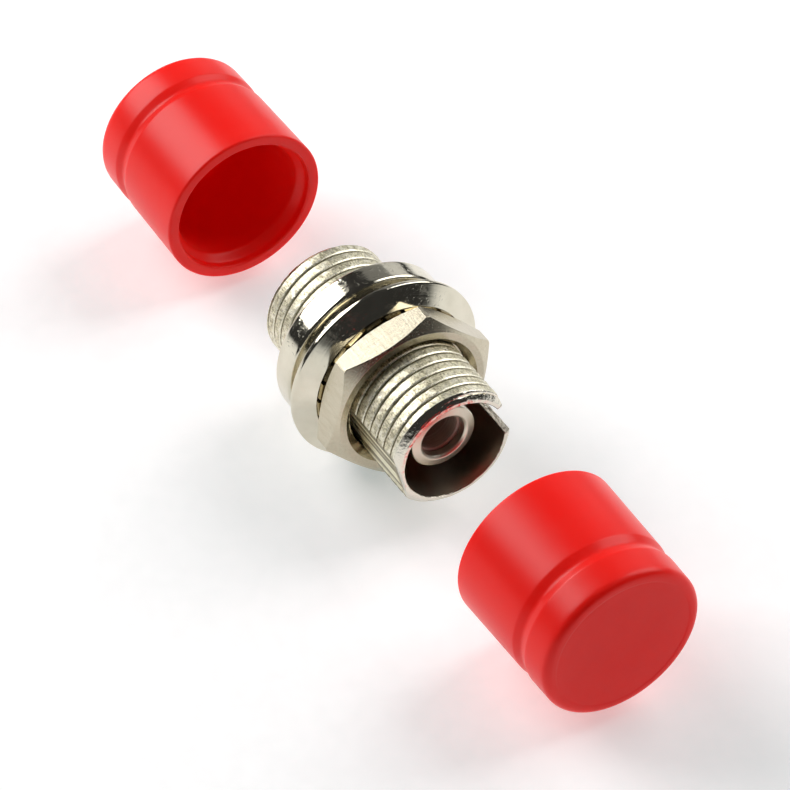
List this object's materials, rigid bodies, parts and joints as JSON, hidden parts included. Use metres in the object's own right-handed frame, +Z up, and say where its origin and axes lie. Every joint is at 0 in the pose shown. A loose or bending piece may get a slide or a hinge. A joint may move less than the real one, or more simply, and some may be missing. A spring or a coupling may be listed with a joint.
{
  "type": "fibre coupler",
  "caption": "Round threaded fibre coupler with flanged two-part body, split alignment sleeve, toothed lock washer, thin panel nut and red dust caps pulled off both ends.",
  "frame": {"origin": "on the coupler's axis at the mating plane, in the middle of the split sleeve", "axes": "+X along the coupler's axis towards the barrel with the flats, the washer and the nut; +Z up as the coupler lies"},
  "size_m": [0.051, 0.0124, 0.0124],
  "materials": {
    "nickel_plate": "bright nickel plating on turned brass, flange polished, thread crests dulled",
    "satin_nickel": "satin nickel plating on milled brass",
    "washer_steel": "bright plated spring steel with a faint yellow tone",
    "zirconia": "ground white ceramic",
    "red_plastic": "satin soft moulded plastic"
  },
  "bodies": {
    "coupler": {"front_body": "nickel_plate", "rear_body": "nickel_plate", "split_sleeve": "zirconia"},
    "washer": {"lock_washer": "washer_steel"},
    "nut": {"hex_nut": "satin_nickel"},
    "front_cap": {"front_dust_cap": "red_plastic"},
    "rear_cap": {"rear_dust_cap": "red_plastic"}
  },
  "joints": [
    {"name": "nut_travel", "type": "slide", "parent": "coupler", "child": "washer", "axis": [1, 0, 0], "range_m": [0, 0.0015]},
    {"name": "nut_spin", "type": "hinge", "parent": "washer", "child": "nut", "pos_m": [0.00179, 0, 0], "axis": [1, 0, 0], "range_deg": [0, 720]},
    {"name": "front_cap_slide", "type": "slide", "parent": "coupler", "child": "front_cap", "axis": [-1, 0, 0], "range_m": [0, 0.01178]},
    {"name": "rear_cap_slide", "type": "slide", "parent": "coupler", "child": "rear_cap", "axis": [1, 0, 0], "range_m": [0, 0.01345]}
  ],
  "couplings": [
    {"joint": "nut_spin", "follows": "nut_travel", "rad_per_m": 8377.5}
  ]
}
